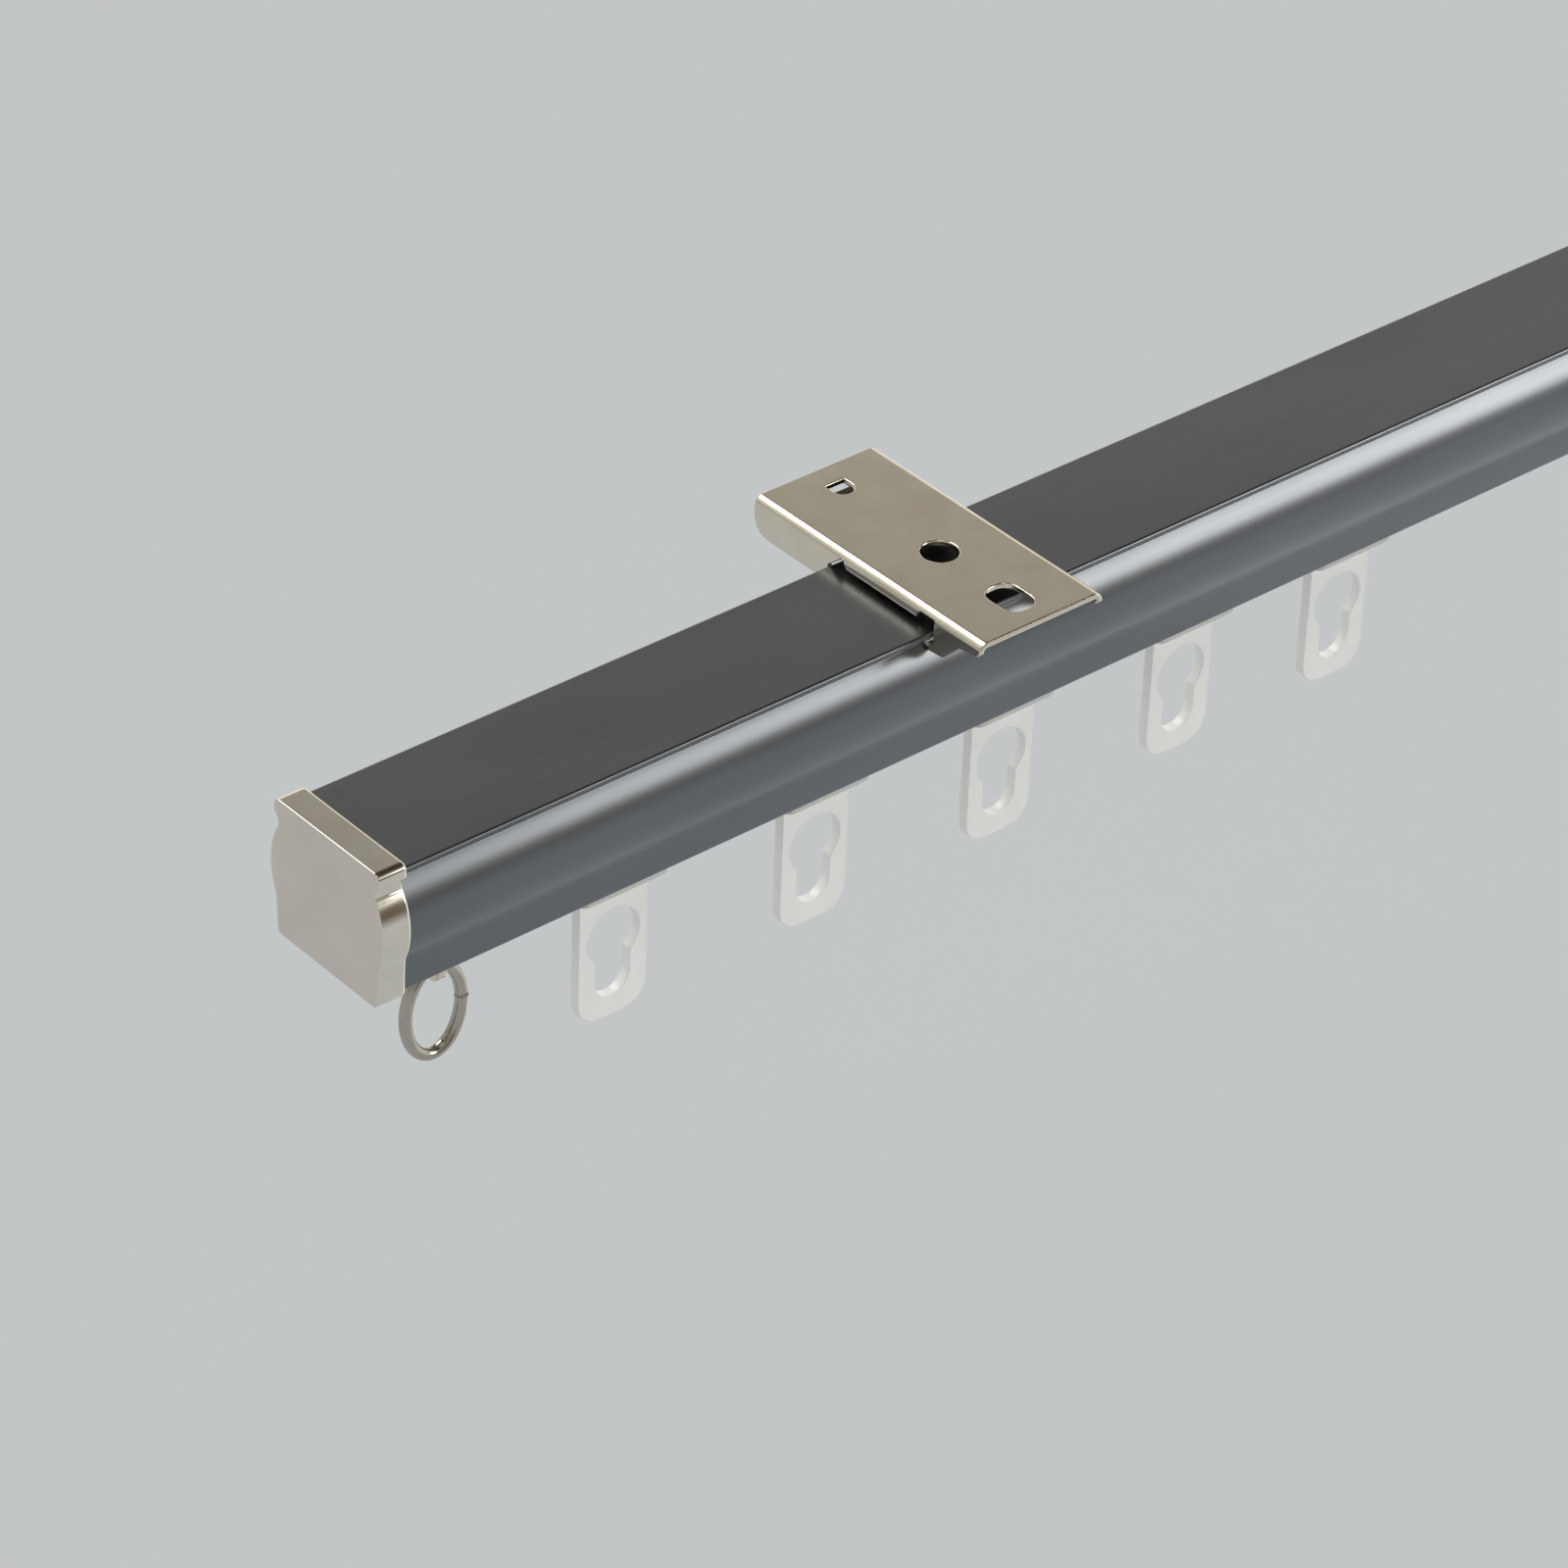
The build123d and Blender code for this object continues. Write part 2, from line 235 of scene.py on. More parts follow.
finishes = {
    "channel": anodisedAluminium(), "capFace": castNickelFace(), "capRim": castNickelRim(),
    "bracket": satinNickel(), "ring": nickelWire(), "steel": zincSteel(),
    # The lock slides' near black colour is painted shade for the inside of the bracket's holes
    "slide": paintedShadeSteel(), "block": castZinc(), "plate": satinNickel(),
    "axle": turnedSteel(), "acetal": mouldedAcetal(),
}
print("materials made:", len(finishes))


# Drawing and building

def turnSteps(start, end, steps):
    # Angles in even steps, with both ends
    return [start + (end - start) * i / steps for i in range(steps + 1)]


def arcThrough(start, middle, end, steps):
    # Points of the circle through three points, without its two ends
    a, b, c = Vector(start), Vector(middle), Vector(end)
    d = 2 * (a.x * (b.y - c.y) + b.x * (c.y - a.y) + c.x * (a.y - b.y))
    aa, bb, cc = a.length_squared, b.length_squared, c.length_squared
    centre = Vector(((aa * (b.y - c.y) + bb * (c.y - a.y) + cc * (a.y - b.y)) / d,
                     (aa * (c.x - b.x) + bb * (a.x - c.x) + cc * (b.x - a.x)) / d))
    turn = (a - centre).angle_signed(c - centre)
    return [centre + Matrix.Rotation(-turn * i / steps, 2) @ (a - centre) for i in range(1, steps)]


def walkPath(points, index, direction, reach):
    # Point at a distance along the path from a corner, and the corners passed on the way
    passed = []
    step = points[index + direction] - points[index]
    while step.length < reach:
        reach -= step.length
        index += direction
        passed.append(index)
        step = points[index + direction] - points[index]
    return points[index] + step.normalized() * reach, passed


def roundedPath(corners, steps=6):
    # Path through (point, radius) corners, each eased over the length that its radius takes
    points = [Vector(point) for point, radius in corners]
    path = {index: [point] for index, point in enumerate(points)}
    for index, (point, radius) in enumerate(corners):
        if radius:
            angle = (points[index - 1] - points[index]).angle(points[index + 1] - points[index])
            reach = radius / tan(angle / 2)
            start, before = walkPath(points, index, -1, reach)
            end, after = walkPath(points, index, 1, reach)
            for passed in before + after:
                path[passed] = []
            path[index] = [start * (1 - s) ** 2 + points[index] * 2 * s * (1 - s) + end * s ** 2
                           for s in [i / steps for i in range(steps + 1)]]
    return [point for index in sorted(path) for point in path[index]]


def roundedLoop(corners, steps=6):
    # The same, closed: the path starts on the straight before its first corner
    (x, y), (lastX, lastY) = corners[0][0], corners[-1][0]
    start = (((x + lastX) / 2, (y + lastY) / 2), 0)
    return roundedPath([start] + list(corners) + [start], steps)[:-1]


def holeLoop(radius, height, steps):
    # Circle at a height on the drawing's second axis, clockwise, as every hole is drawn
    turns = turnSteps(0, -2 * pi, steps)[:-1]
    return [Vector((radius * cos(a), height + radius * sin(a))) for a in turns]


def boxLoop(left, right, low, high, radius, steps=6):
    points = ((left, low), (right, low), (right, high), (left, high))
    return roundedLoop([(point, radius) for point in points], steps)


def insetLoop(points, distance):
    # Each side moves to its left, into the material
    moved = []
    for index, point in enumerate(points):
        before = (point - points[index - 1]).normalized()
        after = (points[(index + 1) % len(points)] - point).normalized()
        normal = Vector((-before.y - after.y, before.x + after.x))
        normal.normalize()
        share = max(0.4, normal.dot(Vector((-after.y, after.x))))  # keeps a sharp corner in reach
        moved.append(point + normal * distance / share)
    return moved


def roundedLevels(low, high, lowRadius, highRadius, steps=3):
    # Heights and insets of a plate's wall from bottom to top; a highRadius of 0 leaves it square
    quarter = turnSteps(0, pi / 2, steps)
    lower = [(low + lowRadius * (1 - sin(a)), lowRadius * (1 - cos(a))) for a in reversed(quarter)]
    upper = [(high - highRadius * (1 - sin(a)), highRadius * (1 - cos(a))) for a in quarter]
    return lower + (upper if highRadius else [(high, 0)])


def addPlate(shape, outlines, levels, turned=Matrix.Identity(4)):
    # Walls through each outline's levels, closed below and above; holes run clockwise
    start = len(shape.verts)
    walls = []
    for outline in outlines:
        rings = [
            [shape.verts.new((point.x, point.y, height)) for point in insetLoop(outline, inset)]
            for height, inset in levels]
        for lower, upper in zip(rings, rings[1:]):
            for i in range(len(outline)):
                shape.faces.new((lower[i - 1], lower[i], upper[i], upper[i - 1]))
        walls.append(rings)
    for level, order in ((0, -1), (-1, 1)):
        loops = [rings[level] for rings in walls]
        corners = [corner for loop in loops for corner in loop]
        triangles = tessellate_polygon([[corner.co for corner in loop] for loop in loops])
        faces = [shape.faces.new([corners[i] for i in triangle]) for triangle in triangles]
        for face in faces:
            face.normal_update()
            if face.normal.z * order < 0:
                face.normal_flip()
        edges = list(dict.fromkeys(edge for face in faces for edge in face.edges))
        bmesh.ops.dissolve_limit(shape, angle_limit=radians(1), verts=corners, edges=edges)
    shape.verts.ensure_lookup_table()
    bmesh.ops.transform(shape, matrix=turned, verts=shape.verts[start:])


def addTurned(shape, profile, x, steps):
    # A profile of (radius, height) points turned round a line along Z at x; radius 0 closes it
    rings = []
    for radius, height in profile:
        turns = turnSteps(0, 2 * pi, steps)[:steps if radius else 1]
        rings.append(
            [shape.verts.new((x + radius * cos(a), radius * sin(a), height)) for a in turns])
    for lower, upper in zip(rings, rings[1:]):
        for i in range(steps):
            around = ((lower, i - 1), (lower, i), (upper, i), (upper, i - 1))
            loop = [level[place % len(level)] for level, place in around]
            shape.faces.new(list(dict.fromkeys(loop)))


def meshObject(name, shape):
    mesh = bpy.data.meshes.new(name)
    shape.to_mesh(mesh)
    shape.free()
    item = bpy.data.objects.new(name, mesh)
    bpy.context.scene.collection.objects.link(item)
    return item


def settle(item):
    # Modifiers become part of the mesh
    bpy.context.view_layer.update()
    evaluated = item.evaluated_get(bpy.context.evaluated_depsgraph_get())
    mesh = bpy.data.meshes.new_from_object(evaluated)
    item.modifiers.clear()
    item.data = mesh
    mesh.name = item.name


def finishPiece(item, materials, body, replaced, sharp=38):
    # From track millimetres to the frame's metres, with smooth shading up to the sharp edges
    item.data.transform(toTrack)
    item.data.materials.clear()
    for material in materials:
        item.data.materials.append(material)
    item.data.shade_smooth()
    item.data.set_sharp_from_angle(angle=radians(sharp))
    item.modifiers.new("faceWeights", "WEIGHTED_NORMAL").keep_sharp = True
    settle(item)
    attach(item, body)
    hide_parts(*replaced)


def makePiece(name, shape, materials, body, replaced, sharp=38):
    item = meshObject(name, shape)
    finishPiece(item, materials, body, replaced, sharp)
    return item


def newTree(name, sizes):
    # Geometry tree with a geometry input and one named input for each size
    tree = bpy.data.node_groups.new(name, "GeometryNodeTree")
    tree.interface.new_socket("Geometry", in_out="INPUT", socket_type="NodeSocketGeometry")
    for size in sizes:
        tree.interface.new_socket(size, in_out="INPUT", socket_type="NodeSocketFloat")
    tree.interface.new_socket("Geometry", in_out="OUTPUT", socket_type="NodeSocketGeometry")
    return tree, tree.nodes.new("NodeGroupInput").outputs


def endTree(tree, geometry, material):
    real = addNode(tree, "GeometryNodeRealizeInstances", None, {"Geometry": geometry})
    painted = addNode(tree, "GeometryNodeSetMaterial", {"Material": material},
                      {"Geometry": real.outputs["Geometry"]})
    addNode(tree, "NodeGroupOutput", None, {"Geometry": painted.outputs["Geometry"]})


def growTree(name, host, tree, sizes):
    # The tree's result on the host as a plain mesh object
    modifier = host.modifiers.new(tree.name, "NODES")
    modifier.node_group = tree
    for socket in tree.interface.items_tree:
        if socket.name in sizes:
            modifier[socket.identifier] = sizes[socket.name]
    bpy.context.view_layer.update()
    evaluated = host.evaluated_get(bpy.context.evaluated_depsgraph_get())
    item = bpy.data.objects.new(name, bpy.data.meshes.new_from_object(evaluated))
    host.modifiers.remove(modifier)
    bpy.context.scene.collection.objects.link(item)
    bpy.data.objects.remove(host)
    return item


def profileCurve(name, points):
    curve = bpy.data.curves.new(name, "CURVE")
    curve.dimensions = "2D"
    spline = curve.splines.new("POLY")
    spline.points.add(len(points) - 1)
    for target, point in zip(spline.points, points):
        target.co = (point.x, point.y, 0, 1)
    spline.use_cyclic_u = True
    item = bpy.data.objects.new(name, curve)
    bpy.context.scene.collection.objects.link(item)
    return item


# Channel and end caps

# Halves run out from the channel's middle, and depths and drops down from its top face
channel = {
    "height": 17.9, "wall": 1.2, "ledge": 1.4, "slotHalf": 2.75,
    "lipHalf": 9.62, "lipRadius": 0.45, "lipDrop": 0.55, "lipUnderRadius": 0.15,
    "rootHalf": 8.23, "rootDepth": 1.91, "rootRadius": 0.2,
    "bulgeHalf": 10.45, "bulgeDepth": 8.3, "bulgeSteps": 48,
    "waistHalf": 9.42, "waistDepth": 12.9, "waistRadius": 4.0,
    "footHalf": 9.2, "footRadius": 0.5, "hollowHalf": 5.87, "innerRadius": 0.4, "slotRadius": 0.15,
}
# Proud: how far the cap stands out past the channel
cap = {
    "thickness": 4.3, "proudSide": 0.5, "proudTop": 0.9, "proudBottom": 0.55, "lipRadius": 1.1,
    "lipDrop": 1.0, "lipUnderRadius": 0.3, "grooveHalf": 9.35, "grooveDepth": 1.8,
    "grooveHeight": 1.0, "grooveRadius": 0.6, "footRadius": 1.0, "faceEdge": 0.13, "backEdge": 0.6,
    "spigotLength": 5.0, "spigotHalf": 7.5, "spigotCorner": 1.9, "spigotWall": 1.4,
    "spigotFit": 0.12, "spigotRadius": 0.3, "spigotEdge": 0.2,
}
railEnd = (railHigh.x - railLow.x) / 2 / mm
trackEnd = railEnd + cap["thickness"]


def halfOutline(head, side, bottom, footCorner, end=0, endCorner=0):
    # The +Y side from the top's middle down: the head's corners, the bulge, the waist and the foot
    c = channel
    footZ = -c["height"] - bottom
    bulge = (c["bulgeHalf"] + side, -c["bulgeDepth"])
    waist = (c["waistHalf"] + side, -c["waistDepth"])
    top, start = ((0, head[0][0][1]), 0), head[-1][0]
    arc = [(point, 0) for point in arcThrough(start, bulge, waist, c["bulgeSteps"])]
    foot = [((c["footHalf"] + side, footZ), footCorner), ((end, footZ), endCorner)]
    if endCorner:
        foot.append(((end, footZ + c["ledge"] / 2), 0))
    return roundedPath([top] + head + arc + [(waist, c["waistRadius"])] + foot, 8)


def bothSides(half):
    # Closed outline, anticlockwise: up the +Y side and down the other
    return half[::-1] + [Vector((-point.x, point.y)) for point in half[1:]]


def channelOutline():
    c = channel
    lip = [((c["lipHalf"], 0), c["lipRadius"]),
           ((c["lipHalf"], -c["lipDrop"]), c["lipUnderRadius"]),
           ((c["rootHalf"], -c["rootDepth"]), c["rootRadius"])]
    outside = halfOutline(lip, 0, 0, c["footRadius"], c["slotHalf"], c["slotRadius"])
    hollow = [((c["hollowHalf"], -c["wall"]), 0)]
    inside = halfOutline(hollow, -c["wall"], -c["ledge"], c["innerRadius"], c["slotHalf"])
    return bothSides(outside) + bothSides(inside)[::-1]


def capOutline():
    c = cap
    lipY = channel["lipHalf"] + c["proudSide"]
    head = [((lipY, c["proudTop"]), c["lipRadius"]), ((lipY, -c["lipDrop"]), c["lipUnderRadius"]),
            ((c["grooveHalf"], -c["grooveDepth"]), 0),
            ((c["grooveHalf"], -c["grooveDepth"] - c["grooveHeight"]), c["grooveRadius"])]
    return bothSides(halfOutline(head, c["proudSide"], c["proudBottom"], c["footRadius"]))[:-1]


def makeChannel():
    tree, inputs = newTree("extrudeChannel", ["Length"])
    half = addNode(tree, "ShaderNodeMath", {1: 0.5}, {0: inputs["Length"]}, operation="MULTIPLY")
    minus = addNode(tree, "ShaderNodeMath", {1: -0.5}, {0: inputs["Length"]}, operation="MULTIPLY")
    start = addNode(tree, "ShaderNodeCombineXYZ", None, {"X": minus.outputs[0]})
    end = addNode(tree, "ShaderNodeCombineXYZ", None, {"X": half.outputs[0]})
    line = addNode(tree, "GeometryNodeCurvePrimitiveLine", None,
                   {"Start": start.outputs[0], "End": end.outputs[0]})
    swept = addNode(tree, "GeometryNodeCurveToMesh", {"Fill Caps": True},
                    {"Curve": line.outputs["Curve"], "Profile Curve": inputs["Geometry"]})
    endTree(tree, swept.outputs["Mesh"], finishes["channel"])
    host = profileCurve("channelProfile", channelOutline())
    item = growTree("channel", host, tree, {"Length": 2 * railEnd})
    item.data.transform(Matrix.Rotation(pi, 4, "X"))  # the sweep lays the drawing upside down
    finishPiece(item, [finishes["channel"]], "root", ["rail"], sharp=50)


def spigotLoop(half, low, high):
    corner = cap["spigotCorner"]
    points = [(-half, low), (half, low), (half, high - corner), (half - corner, high),
              (corner - half, high), (-half, high - corner)]
    return roundedLoop([(point, cap["spigotRadius"]) for point in points], 3)


def makeCap(end, side):
    # The near cap is drawn outwards along -X, the far one along +X
    shape = bmesh.new()
    faceEdge, backEdge = cap["faceEdge"], cap["backEdge"]
    if side > 0:
        levels = roundedLevels(railEnd, trackEnd, backEdge, faceEdge, 4)
    else:
        levels = roundedLevels(-trackEnd, -railEnd, faceEdge, backEdge, 4)
    addPlate(shape, [capOutline()], levels, acrossTrack)
    half, wall = cap["spigotHalf"], cap["spigotWall"]
    low = channel["ledge"] - channel["height"] + cap["spigotFit"]
    high = -channel["wall"] - cap["spigotFit"]
    outer = spigotLoop(half, low, high)
    inner = spigotLoop(half - wall, low + wall, high - wall)[::-1]
    low, high = sorted((side * (railEnd + backEdge), side * (railEnd - cap["spigotLength"])))
    levels = roundedLevels(low, high, cap["spigotEdge"], cap["spigotEdge"], 2)
    addPlate(shape, [outer, inner], levels, acrossTrack)
    materials = [finishes["capRim"], finishes["capFace"]]
    item = makePiece(f"endCap_{end}", shape, materials, "root", [f"end_cap_{end}"])
    for polygon in item.data.polygons:
        if polygon.normal.x * side > 0.99:  # the flat face, without its broken edge
            polygon.material_index = 1


makeChannel()
for end, side in (("near", -1), ("far", 1)):
    makeCap(end, side)
print("channel and caps made")


# Brackets, each folded from one punched sheet

# Places run back across the track from its middle, and heights up from the channel's top face
bracket = {
    "width": 20.2, "back": 24.2, "front": -18.3, "height": 2.7, "sheet": 0.8, "bendRadius": 1.3,
    "flangeDepth": 2.6, "backCorner": 3.2, "frontFlange": 0.8, "frontCorner": 0.5,
    "grip": 9.87, "clawTip": 9.0, "tipTop": 1.5, "tipBottom": 2.8, "heel": 1.8, "slope": 2.9,
    "ease": 0.25, "notchWidth": 2.2, "notchHeight": 1.7, "tabHeight": 0.85, "tabCorner": 0.5,
    "cutCorner": 0.2, "tightCorner": 0.1, "heelCorner": 0.4, "slopeCorner": 0.5, "noseCorner": 0.3,
    "screwHole": 2.45, "screwY": 0.6, "slotHalf": 2.3, "slotLength": 6.2, "slotY": -12.4,
    "slotRounding": 0.98, "keyHalf": 1.55, "keyY": 19.1, "keyCorner": 0.25, "holeSteps": 56,
    "footStart": 12.5, "footEnd": 21.0, "footReach": 2.8, "footInset": 0.35, "footCorner": 0.4,
    "footEdge": 0.15, "edge": 0.2, "bendSteps": 8,
}
# The flat top's half width, then the bend along the middle of the sheet's thickness
flatHalf = bracket["width"] / 2 - bracket["bendRadius"]
bendMiddle = bracket["bendRadius"] - bracket["sheet"] / 2
bendTop = bracket["height"] - bracket["bendRadius"]
bendLength = bendMiddle * pi / 2


def flatReach(height):
    # How far from the middle of the flat sheet a point at a height on the folded flange lies
    if height <= bendTop:
        return flatHalf + bendLength + bendTop - height
    share = min(1.0, (height - bendTop) / bendMiddle)
    angle = 0.0
    while cos(angle) > share:
        angle += radians(0.5)  # near enough for a corner in the bend
    return flatHalf + bendMiddle * angle


def foldSheet(point):
    # From the flat sheet, whose Z runs inwards through its thickness, to the folded one
    b = bracket
    side = 1 if point.x > 0 else -1
    run, inward = abs(point.x) - flatHalf, point.z
    if run <= 0:
        return Vector((point.x, point.y, b["height"] - inward))
    if run < bendLength:
        angle = run / bendMiddle
        radius = b["bendRadius"] - inward
        x = side * (flatHalf + radius * sin(angle))
        return Vector((x, point.y, bendTop + radius * cos(angle)))
    return Vector((side * (b["width"] / 2 - inward), point.y, bendTop - run + bendLength))


def blankOutline():
    # Half of the flat blank's edge, from the back to the front, as rounded corners
    b = bracket
    notch = b["grip"] - b["notchWidth"]
    heel = b["grip"] + b["heel"]
    bottom, corner, cut = flatReach(-b["flangeDepth"]), b["tabCorner"], b["cutCorner"]
    tight, notchTop = b["tightCorner"], flatReach(b["notchHeight"])
    tabTop = flatReach(b["tabHeight"])
    return [
        ((bottom, b["back"]), b["backCorner"]),
        ((bottom, b["grip"]), cut),
        ((flatReach(0), b["grip"]), cut),
        ((notchTop, notch), cut),
        ((notchTop, notch - corner), tight),
        ((tabTop, notch - 2 * corner), cut),
        ((tabTop, 2 * corner - notch), cut),
        ((notchTop, corner - notch), tight),
        ((notchTop, -b["grip"]), cut),
        ((flatReach(-b["tipTop"] + b["ease"]), -b["grip"]), cut),
        ((flatReach(-b["tipTop"]), -b["clawTip"]), cut),
        ((flatReach(-b["tipBottom"]), -b["clawTip"]), cut),
        ((flatReach(-b["tipBottom"] + b["ease"]), -heel), b["heelCorner"]),
        ((flatReach(b["frontFlange"] - b["frontCorner"]), -heel - b["slope"]), b["slopeCorner"]),
        ((flatReach(b["frontFlange"]), b["front"] + b["frontCorner"]), b["noseCorner"]),
        ((flatReach(b["frontFlange"] + b["frontCorner"]), b["front"]), tight),
    ]


def makeBracket(end, middle):
    b = bracket
    half = blankOutline()
    other = [((-across, along), radius) for (across, along), radius in half[::-1]]
    blank = roundedLoop(half + other, 5)[::-1]
    slotHalf, slotReach = b["slotHalf"], b["slotLength"] / 2
    slot = boxLoop(-slotHalf, slotHalf, b["slotY"] - slotReach, b["slotY"] + slotReach,
                   slotHalf * b["slotRounding"], 16)[::-1]
    keyHalf, keyTop = b["keyHalf"], b["keyY"] + b["keyHalf"]
    key = [((keyHalf * cos(a), b["keyY"] + keyHalf * sin(a)), 0) for a in turnSteps(-pi, 0, 20)]
    square = [((keyHalf, keyTop), b["keyCorner"]), ((-keyHalf, keyTop), b["keyCorner"])]
    key = roundedPath(key + square + key[:1])[:-1][::-1]
    middleHole = holeLoop(b["screwHole"], b["screwY"], b["holeSteps"])
    shape = bmesh.new()
    levels = roundedLevels(0, b["sheet"], b["edge"], b["edge"], 2)
    addPlate(shape, [blank, middleHole, slot, key], levels)
    folds = [flatHalf + bendLength * i / b["bendSteps"] for i in range(b["bendSteps"] + 1)]
    for fold in folds + [-fold for fold in folds]:
        everything = shape.verts[:] + shape.edges[:] + shape.faces[:]
        bmesh.ops.bisect_plane(shape, geom=everything, dist=0.0005, plane_co=(fold, 0, 0),
                               plane_no=(1, 0, 0))
    for corner in shape.verts:
        corner.co = foldSheet(corner.co)
    outer, inner = b["width"] / 2 - b["footInset"], b["width"] / 2 - b["footReach"]
    for left, right in ((-outer, -inner), (inner, outer)):
        foot = boxLoop(left, right, b["footStart"], b["footEnd"], b["footCorner"])
        low, high = -b["flangeDepth"], b["sheet"] - b["flangeDepth"]
        addPlate(shape, [foot], roundedLevels(low, high, b["footEdge"], b["footEdge"]))
    bmesh.ops.translate(shape, vec=(middle, 0, 0), verts=shape.verts)
    bmesh.ops.recalc_face_normals(shape, faces=shape.faces)
    makePiece(f"bracket_{end}", shape, [finishes["bracket"]], "root",
              [f"bracket_{end}"], 45)


def middleOf(node):
    low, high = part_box(node)
    return ((low + high) / 2 - trackOrigin) / mm


for end in ("near", "far"):
    makeBracket(end, middleOf(f"bracket_{end}").x)
print("brackets folded")


# Pieces kept in their CAD form, with their edges broken by these widths

brokenEdge = {"slide": 0.08, "block": 0.2, "plate": 0.12}


def easedCopy(node, name, material, body, edge):
    shape = bmesh.new()
    shape.from_mesh(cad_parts[node].data)
    bmesh.ops.remove_doubles(shape, verts=shape.verts, dist=0.001 * mm)
    bmesh.ops.dissolve_limit(shape, angle_limit=radians(2), verts=shape.verts, edges=shape.edges)
    item = meshObject(name, shape)
    item.data.transform(toTrack.inverted())
    bevel = item.modifiers.new("brokenEdges", "BEVEL")
    bevel.width = edge
    bevel.segments = 2
    bevel.limit_method = "ANGLE"
    bevel.angle_limit = radians(40)
    bevel.use_clamp_overlap = True
    settle(item)
    finishPiece(item, [material], body, [node], 45)


for end in ("near", "far"):
    for node, name, kind, body, slot in (
            ("lock_slide", "lockSlide", "slide", f"lock_{end}", "steel"),
            ("stop_block", "stopBlock", "block", "root", "block"),
            ("stop_plate", "stopPlate", "plate", "root", "plate")):
        easedCopy(f"{node}_{end}", f"{name}_{end}", finishes[kind], body, brokenEdge[kind])
print("slides and stops made")


# Rings of bent wire

ring = {"wire": 0.875, "halfWidth": 4.2, "halfHeight": 6.5, "split": 2.5, "splitRise": 5.0,
        "runs": 144, "sides": 28}


def makeRing(end, side):
    # The split is on the side towards the track's middle
    tree, inputs = newTree("bendWire", ["Half width", "Half height", "Wire", "Split", "Split rise"])
    circle = addNode(tree, "GeometryNodeCurvePrimitiveCircle",
                     {"Resolution": ring["runs"], "Radius": 1.0})
    first = addNode(tree, "ShaderNodeMath", {1: 360.0}, {0: inputs["Split"]}, operation="DIVIDE")
    last = addNode(tree, "ShaderNodeMath", {0: 1.0}, {1: first.outputs[0]}, operation="SUBTRACT")
    cut = addNode(tree, "GeometryNodeTrimCurve", None, {
        "Curve": circle.outputs["Curve"], "Start": first.outputs[0], "End": last.outputs[0]})
    rise = addNode(tree, "ShaderNodeMath", None, {0: inputs["Split rise"]}, operation="RADIANS")
    turn = addNode(tree, "ShaderNodeCombineXYZ", None, {"Z": rise.outputs[0]})
    raised = addNode(tree, "GeometryNodeTransform", None,
                     {"Geometry": cut.outputs["Curve"], "Rotation": turn.outputs[0]})
    size = addNode(tree, "ShaderNodeCombineXYZ", {"Z": 1.0},
                   {"X": inputs["Half width"], "Y": inputs["Half height"]})
    oval = addNode(tree, "GeometryNodeTransform", None,
                   {"Geometry": raised.outputs["Geometry"], "Scale": size.outputs[0]})
    section = addNode(tree, "GeometryNodeCurvePrimitiveCircle", {"Resolution": ring["sides"]},
                      {"Radius": inputs["Wire"]})
    swept = addNode(tree, "GeometryNodeCurveToMesh", {"Fill Caps": True},
                    {"Curve": oval.outputs["Geometry"], "Profile Curve": section.outputs["Curve"]})
    endTree(tree, swept.outputs["Mesh"], finishes["ring"])
    host = meshObject("wireHost", bmesh.new())
    item = growTree(f"ring_{end}", host, tree, {
        "Half width": ring["halfWidth"], "Half height": ring["halfHeight"], "Wire": ring["wire"],
        "Split": ring["split"], "Split rise": ring["splitRise"]})
    middle = Matrix.Translation(middleOf(f"end_ring_{end}"))
    item.data.transform(middle @ alongTrack)
    if side > 0:
        item.data.transform(middle @ Matrix.Rotation(pi, 4, "Z") @ middle.inverted())
    finishPiece(item, [finishes["ring"]], f"ring_{end}", [f"end_ring_{end}"])


for end, side in (("near", -1), ("far", 1)):
    makeRing(end, side)
print("rings bent")


# Stop screws

# threadFree is the length of shank without thread, threadStart of it under the head
screw = {"head": 3.3, "headHeight": 1.9, "edge": 0.35, "rimEdge": 0.1, "shank": 2.0, "core": 1.62,
         "tip": 0.4, "pitch": 0.7, "ridgeShare": 0.6, "threadFree": 1.0, "threadStart": 0.3,
         "recessLength": 3.6, "recessWidth": 0.8, "recessDepth": 1.1, "recessSpread": 0.02,
         "recessDraft": 0.12}


